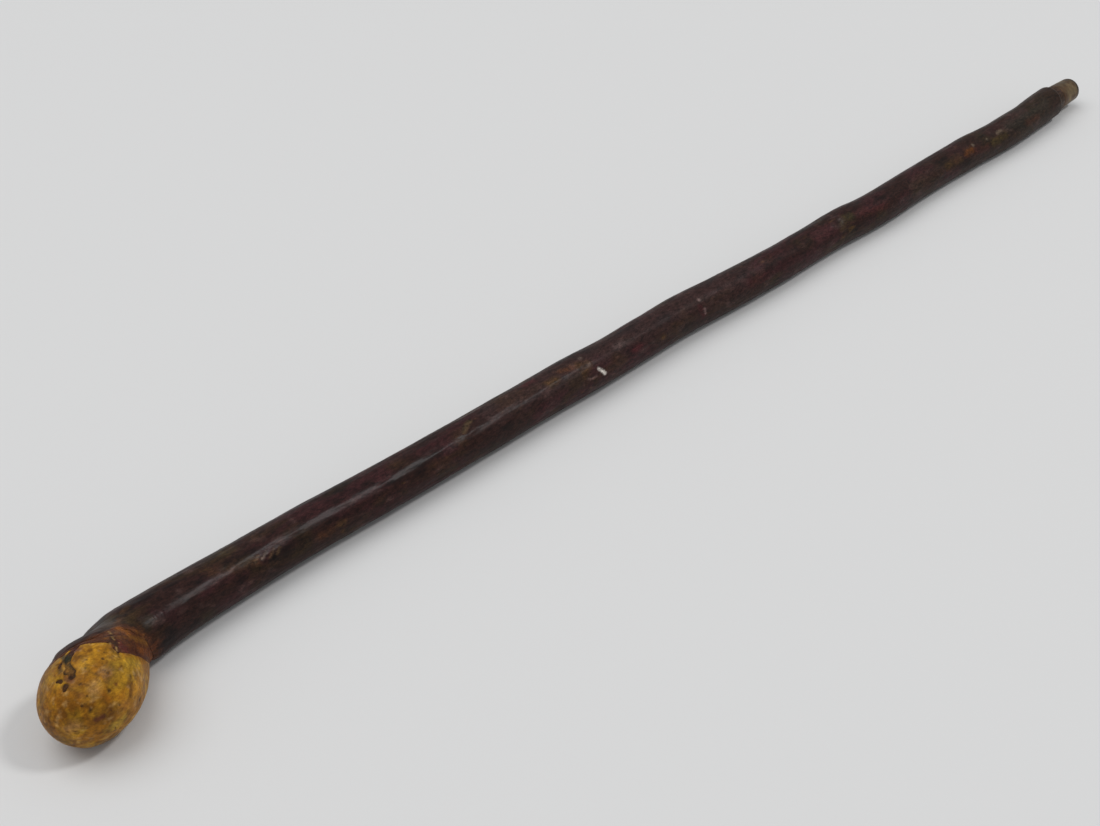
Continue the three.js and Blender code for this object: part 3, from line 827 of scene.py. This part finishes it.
def bark_paint(points, edge_gap):
    x = points[..., 0]
    along = (x - KNOB_TIP) / (SOLE_END - KNOB_TIP)
    colours = washed(points, ground(points, BARK_BASE), BARK_TONES)
    colours = mix(colours, BARK_TIP, 0.5 * smoothstep(along, 0.75, 0.95))
    colours = mix(colours, SHOULDER_BROWN, 0.6 * smoothstep(x, TAIL_START + 8 * MM, SOLE_END - 22 * MM))
    colours = worn_edge(points, edge_gap, washed(points, colours, BARK_BLOTCHES))
    # Marks, with the painted sheen along the stem's upper side among them.
    for share, (_, colour, weight) in marks(points, BARK_MARKS_AND_SHEEN, broken=0.35):
        colours = mix(colours, colour, MARK_STRENGTH * weight * share)
    for gap, radius, strength in knots(points):
        colours = mix(colours, BARK_MAUVE, 0.3 * strength * ridge(gap, radius, 0.8 * MM))
        colours = mix(colours, BARK_DARK, 0.7 * strength * ridge(gap, 0, 1.3 * MM))
    return colours


def make_bark():
    outer, inner, edge_gap = bark_rings()
    rings = np.concatenate([outer, inner])
    edge_gap = np.concatenate([edge_gap, np.full(inner.shape[:2], NECK_END)])
    piece = skin("bark_skin", rings, ["bark_sleeve"], joined=True)
    paint(piece, bark_paint(rings, edge_gap).reshape(-1, 3))
    return piece


# The inner bark.
INNER_BASE, INNER_OCHRE, INNER_DARK = (84, 45, 22), (124, 78, 28), (56, 26, 16)
# Marks on it: (pixels, width in mm, colour, share).
INNER_MARKS = [
    ((130, 637, 138, 639, 146, 643), 3.4, (126, 84, 30), 0.6),
    ((121, 645, 126, 652), 4.5, (92, 38, 32), 0.8),
    ((129, 649, 138, 655), 4, (66, 26, 14), 0.85),
    ((140, 650, 150, 658), 3.5, (130, 70, 24), 0.6),
    ((118, 628, 126, 632), 4, (150, 88, 26), 0.7),
    ((94, 634, 108, 630), 4, (96, 60, 40), 0.6),
    ((144, 660, 151, 666), 2.6, (100, 44, 20), 0.6),
    ((112, 634, 117, 656), 2.2, (70, 40, 22), 0.7),
]
INNER_TONES = [
    (INNER_OCHRE, 0.7, (8, 2.4, 2.4), 75, 0, 0.7, 3),
    (INNER_DARK, 0.7, (6, 2, 2), 76, 0.1, 0.7, 3),
]
INNER_EDGE_WAVES, INNER_GRAIN = [(0.6, 0.12, 71), (0.3, 0.04, 72)], (0.14, (5, 0.8, 0.8), 73)
INNER_OVERLAP, INNER_LEAST, INNER_RINGS, INNER_ROW_STEP = 2.5 * MM, 3 * MM, 46, 5
INNER_FEATHER, INNER_DROP, INNER_THINNEST = 0.9 * MM, 0.35 * MM, 0.25 * MM
TUCK_SPAN, TUCK_DROP = (-0.4 * MM, 0.6 * MM), 0.1 * MM


def inner_bark_paint(points):
    colours = washed(points, ground(points, INNER_BASE), INNER_TONES)
    for share, (colour, weight) in marks(points, INNER_MARKS):
        colours = mix(colours, colour, weight * share)
    return fleck(points, colours)


def make_inner_bark():
    """Inner bark from its own thin edge on the knob to where it is tucked under the bark."""
    start = ragged(inner_edge, INNER_EDGE_WAVES)
    end = np.maximum(bark_edge + INNER_OVERLAP, start + INNER_LEAST)
    x = start + (end - start) * (np.arange(INNER_RINGS) / (INNER_RINGS - 1))[:, None]
    radius = radius_at(x, knob_x, knob_radius)
    feather = 1 - smoothstep(x - start, 0, INNER_FEATHER)
    outside = radius + INNER_PROUD * (1 - feather) - INNER_DROP * feather
    outside = outside + swell(ring_points(x, outside), INNER_GRAIN, noise)
    tucked = past(x, bark_edge, TUCK_SPAN)
    under_bark = np.minimum(outside, radius + BARK_PROUD - tucked * BARK_THICKNESS)
    outside = np.where(tucked > 0, under_bark, outside) - tucked * TUCK_DROP
    inside = np.minimum(radius - INNER_THICKNESS, outside - INNER_THINNEST)
    outer = above_floor(ring_points(x, outside))
    inner = ring_points(x[::-INNER_ROW_STEP], inside[::-INNER_ROW_STEP])
    rings = np.concatenate([outer, inner])
    piece = skin("inner_bark_layer", rings, ["inner_bark_collar"], joined=True)
    paint(piece, inner_bark_paint(rings).reshape(-1, 3))
    return piece


# The crusts of bark that the root grew round.
CRUST_EDGE, CRUST_DROP, CRUST_ROUGHNESS = 0.04, 0.2 * MM, (0.35, 1.5)
CRUST_DARK, CRUST_BROWN, CRUST_OLIVE, CRUST_WOOD = (46, 30, 18), (90, 54, 28), (62, 56, 30), (128, 88, 36)

# Tones of the crusts: (pixels, width in mm, colour).
CRUST_TONES = [
    ((64, 648, 78, 649), 6, (70, 32, 28)),
    ((64, 653, 65, 661), 4, (34, 36, 22)),
    ((67, 664, 68, 671), 3.5, (84, 64, 30)),
    ((66, 669, 71, 673), 2.4, (140, 96, 36)),
    ((70, 676, 73, 680), 4.5, (56, 30, 10)),
    ((58, 667, 61, 672), 3.5, (60, 28, 18)),
    ((58, 681, 64, 688), 4.5, (72, 44, 16)),
]


def crust_mesh(inside, top, bottom):
    """Points and faces over each cell whose four corners lie inside, with sides where the cells end."""
    sides = inside.shape[1]
    number, points, quads = {}, [], []

    def corner(i, j, layer):
        key = (i, j % sides, layer)
        if key not in number:
            number[key] = len(points)
            points.append((top, bottom)[layer][key[0], key[1]])
        return number[key]

    pairs = inside & np.roll(inside, -1, 1)
    cells = set(zip(*np.nonzero(pairs[:-1] & pairs[1:])))
    for i, j in sorted(cells):
        around = [(i, j), (i, j + 1), (i + 1, j + 1), (i + 1, j)]
        quads.append([corner(a, b, 0) for a, b in around])
        quads.append([corner(a, b, 1) for a, b in around[::-1]])
        beyond = [(i - 1, j), (i, (j + 1) % sides), (i + 1, j), (i, (j - 1) % sides)]
        for (a, b), cell in zip(zip(around, around[1:] + around[:1]), beyond):
            if cell not in cells:
                quads.append([corner(*b, 0), corner(*a, 0), corner(*a, 1), corner(*b, 1)])
    return points, quads


def crust_paint(points, seed):
    colours = washed(points, ground(points, CRUST_DARK), [
        (CRUST_BROWN, 0.6, 2.2, seed + 1, 0, 0.7, 3),
        (CRUST_OLIVE, 0.7, 2.6, seed + 2, 0.1, 0.6, 3),
    ])
    for share, (colour,) in marks(points, CRUST_TONES, broken=0.15):
        colours = mix(colours, colour, 0.85 * share)
    return washed(points, colours, [(CRUST_WOOD, 0.6, 1.8, seed + 5, 0.15, 0.5, 3)])


def make_crust(name, node, seed):
    """A rough crust in its pocket, lower towards its edge."""
    share = pocket_shares[node]
    rough = swell(knob_skin, (*CRUST_ROUGHNESS, seed), layered)
    top = ring_points(knob_x, knob_radius - CRUST_SUNK + rough * share - CRUST_DROP * (1 - share))
    bottom = ring_points(knob_x, knob_radius - POCKET_DEPTH)
    points, quads = crust_mesh(share > CRUST_EDGE, top, bottom)
    piece = add_mesh(name, points, quads, [node])
    paint(piece, crust_paint(np.array(points), seed))
    return piece


# The ferrule.
FERRULE_SIDES, FERRULE_SKIN, FERRULE_DENTS = 128, 0.06 * MM, (0.1, 5, 81)
LIP_RADIUS, LIP_RINGS, WALL_START = 0.3 * MM, 9, 0.8 * MM
OUTSIDE_RINGS, INSIDE_RINGS = 30, 14
CRIMP_LENGTH, CRIMP_START, CRIMP_RINGS, FOLD_RINGS = 2.2 * MM, 0.12, 10, 3
SOLE_INSET, SOLE_RIM, SOLE_CORE, SOLE_RIM_RINGS, SOLE_FACE_RINGS = 0.3 * MM, 0.6 * MM, 0.3 * MM, 6, 14
SOLE_RADIUS = (SOLE_BOX[1].z - SOLE_BOX[0].z) / 2 - SOLE_INSET
BRAD_WELD, BRAD_CUTS, BRAD_SOFTNESS, BRAD_DENTS = 0.01 * MM, 2, 0.15, (0.03, 1, 91)
BRASS, BRASS_BROWN, BRASS_GREY, BRAD_BROWN = (122, 104, 76), (86, 62, 44), (64, 56, 50), (52, 36, 28)
BRASS_TARNISH = [
    (BRASS_BROWN, 0.9, (3, 4, 4), 82, -0.4, 0.6, 4),
    (BRASS_GREY, 0.6, (1.6, 4, 4), 84, -0.1, 0.8, 4),
]


def ferrule_rings(x, radius):
    """Points round the ferrule's axis, for an x and a radius for each point."""
    low, high = FERRULE_BOX
    angles = side_angles(FERRULE_SIDES)
    y = (low.y + high.y) / 2 + radius * np.cos(angles)
    z = (low.z + high.z) / 2 + radius * np.sin(angles)
    return np.stack([x, y, z], -1)


def lathe(name, profile, node, joined=False, dents=None):
    """Turned metal, painted as tarnished: profile is (x, radius) pairs, joined up where it is hollow."""
    x, radius = (np.repeat(part[:, None], FERRULE_SIDES, 1) for part in np.transpose(profile))
    rings = ferrule_rings(x, radius)
    if dents:
        rings = ferrule_rings(x, radius + swell(rings, dents, layered))
    piece = skin(name, rings, [node], joined)
    points = vertex_points(piece)
    low, high = FERRULE_ENDS
    colours = washed(points, ground(points, BRASS), BRASS_TARNISH)
    colours = mix(colours, BRASS_BROWN, 0.8 * (1 - smoothstep(points[:, 0], low, low + 6 * MM)))
    colours = mix(colours, BRASS_GREY, 0.9 * smoothstep(points[:, 0], high - 4 * MM, high - 0.5 * MM))
    paint(piece, colours)


def arc(centre_x, centre_r, radius, start, end, count):
    angles = np.radians(np.linspace(start, end, count))
    return [(centre_x + radius * math.sin(a), centre_r + radius * math.cos(a)) for a in angles]


def make_shell():
    """The sleeve, tapering as the frame's does and turned in over the sole's rim."""
    top, end = FERRULE_BOX[0].x, FERRULE_BOX[1].x
    top_radius, end_radius = [section_radius(x) - FERRULE_SKIN for x in FERRULE_ENDS]

    def wall(start, stop, count, depth):
        places = np.linspace(start, stop, count)
        shares = (places - top) / (end - top)
        return [(x, top_radius + (end_radius - top_radius) * s - depth) for x, s in zip(places, shares)]

    turn = end - CRIMP_LENGTH
    lip = arc(top + LIP_RADIUS, top_radius - LIP_RADIUS, LIP_RADIUS, -180, 0, LIP_RINGS)
    outside = wall(top + WALL_START, turn, OUTSIDE_RINGS, 0)
    drop = end_radius - SOLE_RADIUS - CLEARANCE / 2
    crimp = [(turn + CRIMP_LENGTH * math.sin(a), outside[-1][1] - drop * (1 - math.cos(a)))
             for a in np.linspace(CRIMP_START, math.pi / 2, CRIMP_RINGS)]
    fold = [(x - FERRULE_WALL / 2, r) for x, r in crimp[-FOLD_RINGS:][::-1]]
    inside = wall(turn - FERRULE_WALL, top + WALL_START, INSIDE_RINGS, FERRULE_WALL)
    profile = lip + outside + crimp + fold + inside
    lathe("ferrule_shell", profile, "ferrule_tube", joined=True, dents=FERRULE_DENTS)


def make_sole():
    low, high = SOLE_BOX[0].x, SOLE_BOX[1].x
    back = [(low, SOLE_CORE), (low, SOLE_RADIUS)]
    rim = arc(high - SOLE_RIM, SOLE_RADIUS - SOLE_RIM, SOLE_RIM, 0, 90, SOLE_RIM_RINGS)
    face = [(high, r) for r in np.linspace(SOLE_RADIUS - 2 * SOLE_RIM, SOLE_CORE, SOLE_FACE_RINGS)]
    lathe("ferrule_sole_plate", back + rim + face, "ferrule_sole")


def make_brad():
    """The brad: the frame's own solid, cut finer, softened and roughened."""
    mesh = nodes["ferrule_brad"].data.copy()
    mesh.materials.clear()
    piece = placed("ferrule_brad_head", mesh)
    work = bmesh.new()
    work.from_mesh(mesh)
    bmesh.ops.remove_doubles(work, verts=work.verts, dist=BRAD_WELD)
    bmesh.ops.subdivide_edges(work, edges=work.edges, cuts=BRAD_CUTS, use_grid_fill=True)
    bmesh.ops.smooth_vert(work, verts=work.verts, factor=BRAD_SOFTNESS,
                          use_axis_x=True, use_axis_y=True, use_axis_z=True)
    work.normal_update()
    lift = swell(np.array([v.co for v in work.verts]), BRAD_DENTS, layered)
    for vert, amount in zip(work.verts, lift):
        vert.co += vert.normal * amount
    work.to_mesh(mesh)
    work.free()
    dress(piece, ["ferrule_brad"])
    paint(piece, linear(BRAD_BROWN))


# Materials.
# Most of Blender's noise lies between NOISE_LOW and NOISE_HIGH.
NOISE_LOW, NOISE_HIGH, NOISE_ROUGHNESS = 0.32, 0.68, 0.62
CRACK_WIDTH, VARNISH_HEIGHT, GRAIN_DISTORTION = 0.12, 0.22 * MM, 0.4


def material(name):
    made = bpy.data.materials.new(name)
    made.use_nodes = True
    tree_nodes = made.node_tree.nodes
    return made, tree_nodes, made.node_tree.links, tree_nodes["Principled BSDF"]


class Graph:
    """Nodes of one procedural material, all read at object coordinates in metres."""

    def __init__(self, name):
        self.made, self.nodes, self.links, self.shader = material(name)
        self.place = self.add("TexCoord", {}, "Object")

    def put(self, sockets, values):
        """Gives each named socket its number, or links it to what comes out of another node."""
        for name, value in values.items():
            if isinstance(value, bpy.types.NodeSocket):
                self.links.new(value, sockets[name])
            else:
                sockets[name].default_value = value

    def add(self, kind, values, output, **settings):
        """What comes out of a new node."""
        made = self.nodes.new("ShaderNode" + kind)
        for name, value in settings.items():
            setattr(made, name, value)
        self.put(made.inputs, values)
        return made.outputs[output]

    def stretched(self, stretch):
        return self.add("Mapping", {"Scale": (1 / stretch, 1, 1), "Vector": self.place}, "Vector")

    def noise(self, size, stretch, detail=5, distortion=0.0):
        return self.add("TexNoise", {
            "Scale": 1 / size, "Detail": detail, "Roughness": NOISE_ROUGHNESS, "Distortion": distortion,
            "Vector": self.stretched(stretch)}, "Fac")

    def cracks(self, size, stretch):
        values = {"Scale": 1 / size, "Vector": self.stretched(stretch)}
        return self.add("TexVoronoi", values, "Distance", feature="DISTANCE_TO_EDGE")

    def spread(self, value, low, high, start=NOISE_LOW, end=NOISE_HIGH):
        """A value from start to end, spread from low to high."""
        return self.add("MapRange", {
            "Value": value, "From Min": start, "From Max": end, "To Min": low, "To Max": high}, "Result")

    def times(self, colour, share):
        return self.add("VectorMath", {"Vector": colour, "Scale": share}, "Vector", operation="SCALE")

    def painted(self):
        return self.add("Attribute", {}, "Color", attribute_name="paint")

    def bump(self, height, distance, under=None):
        values = {"Distance": distance, "Height": height}
        if under:
            values["Normal"] = under
        return self.add("Bump", values, "Normal")


def grown_material(name, grain, fine, crack, roughness, specular, coat, coat_roughness):
    """Wood or bark, from a row of LOOKS."""
    graph = Graph(name)
    colour, normal = graph.painted(), None
    for size, stretch, share, height in (grain, fine):
        value = graph.noise(size, stretch, distortion=GRAIN_DISTORTION)
        colour = graph.times(colour, graph.spread(value, 1 - share, 1 + share))
        normal = graph.bump(value, height, normal)
    size, stretch, share, height = crack
    edge = graph.spread(graph.cracks(size, stretch), 0, 1, 0, CRACK_WIDTH)
    colour = graph.times(colour, graph.spread(edge, 1 - share, 1, 0, 1))
    broad = graph.noise(grain[0] * 3, grain[1], 3)
    graph.put(graph.shader.inputs, {
        "Base Color": colour,
        "Normal": graph.bump(edge, height, normal),
        "Roughness": graph.spread(broad, *roughness),
        "Specular IOR Level": specular,
        "Coat Weight": coat,
        "Coat Roughness": coat_roughness,
        "Coat Normal": graph.bump(broad, VARNISH_HEIGHT),
    })
    return graph.made


def metal_material(name, size, share, height, roughness, metallic):
    """Metal tarnished in blotches, which are also rougher or smoother."""
    graph = Graph(name)
    blotch, fine = graph.noise(size, 1, 6, 0.6), graph.noise(size / 6, 1, 4)
    colour = graph.times(graph.painted(), graph.spread(blotch, 1 - share, 1 + share))
    graph.put(graph.shader.inputs, {
        "Base Color": graph.times(colour, graph.spread(fine, 1 - share / 2, 1 + share / 2)),
        "Roughness": graph.spread(blotch, *roughness),
        "Normal": graph.bump(fine, height, graph.bump(blotch, height * 2)),
        "Metallic": metallic,
    })
    return graph.made


def cover(piece, made):
    piece.data.materials.clear()
    piece.data.materials.append(made)


# Surroundings.
def make_camera():
    data = bpy.data.cameras.new("camera")
    data.lens, data.sensor_width = LENS, SENSOR
    camera = placed("camera", data)
    camera.location = CAMERA_PLACE
    camera.rotation_euler = CAMERA_ANGLES
    bpy.context.scene.camera = camera


def make_lights():
    for name, power, size, direction in LAMPS:
        data = bpy.data.lights.new(name, "AREA")
        data.shape, data.size, data.energy = "DISK", size, power
        lamp = placed(name, data)
        place = Vector(direction).normalized()
        lamp.location = place * LAMP_DISTANCE
        lamp.rotation_euler = place.to_track_quat("Z", "Y").to_euler()
    world = bpy.data.worlds.new("studio")
    world.use_nodes = True
    background = world.node_tree.nodes["Background"]
    background.inputs["Color"].default_value = rgba(WORLD_COLOUR)
    background.inputs["Strength"].default_value = WORLD_STRENGTH
    bpy.context.scene.world = world


def make_floor():
    half, low = FLOOR_SIZE / 2, cad_box[0].z
    corners = [(x * half, y * half, low) for x, y in ((-1, -1), (1, -1), (1, 1), (-1, 1))]
    mesh = bpy.data.meshes.new("floor")
    mesh.from_pydata(corners, [], [(0, 1, 2, 3)])
    floor = placed("floor", mesh)
    made, _, _, shader = material("floor_paper")
    shader.inputs["Base Color"].default_value = rgba(FLOOR_COLOUR)
    shader.inputs["Roughness"].default_value = FLOOR_ROUGHNESS
    shader.inputs["Specular IOR Level"].default_value = FLOOR_SPECULAR
    cover(floor, made)


make_camera()
make_lights()
make_floor()
bpy.context.scene.view_settings.view_transform = "Standard"

# Looks of wood and bark: grain, fine grain, cracks, range of roughness, specular, coat, coat roughness.
# Grains and cracks are (size, stretch, how much the colour varies, bump height).
LOOKS = {
    "knob_wood": (
        (1.6 * MM, 1.6, 0.32, 0.08 * MM), (0.35 * MM, 2.5, 0.22, 0.02 * MM), (3.2 * MM, 2, 0.06, 0.01 * MM),
        (0.4, 0.62), 0.12, 0.08, 0.28),
    "varnished_bark": (
        (1.5 * MM, 2.2, 0.55, 0.14 * MM), (0.6 * MM, 1.6, 0.4, 0.05 * MM), (2.4 * MM, 3.0, 0.1, 0.02 * MM),
        (0.42, 0.62), 0.06, 0.16, 0.29),
    "inner_bark": (
        (1.3 * MM, 4, 0.4, 0.16 * MM), (0.35 * MM, 5, 0.25, 0.05 * MM), (1.8 * MM, 3, 0.3, 0.08 * MM),
        (0.45, 0.65), 0.12, 0.06, 0.3),
    "ingrown_bark": (
        (1.0 * MM, 1.2, 0.45, 0.2 * MM), (0.3 * MM, 1.5, 0.3, 0.08 * MM), (1.2 * MM, 1.8, 0.12, 0.03 * MM),
        (0.5, 0.8), 0.12, 0.03, 0.3),
}
# Look of metal: size of blotches, how much the colour varies, bump height, range of roughness, metallic.
METAL_LOOK = (2.4 * MM, 0.3, 0.03 * MM, (0.36, 0.62), 0.85)

wood = make_wood()
bark = make_bark()
inner_bark = make_inner_bark()
crusts = [make_crust(f"ingrown_crust_{k + 1}", node, 95 + 3 * k) for k, node in enumerate(INGROWN)]
make_shell()
make_sole()
make_brad()

for piece, look in ((wood, "knob_wood"), (bark, "varnished_bark"), (inner_bark, "inner_bark")):
    cover(piece, grown_material(look, *LOOKS[look]))
for crust in crusts:
    cover(crust, grown_material("ingrown_bark", *LOOKS["ingrown_bark"]))
for name in ("ferrule_shell", "ferrule_sole_plate", "ferrule_brad_head"):
    cover(bpy.data.objects[name], metal_material(name, *METAL_LOOK))
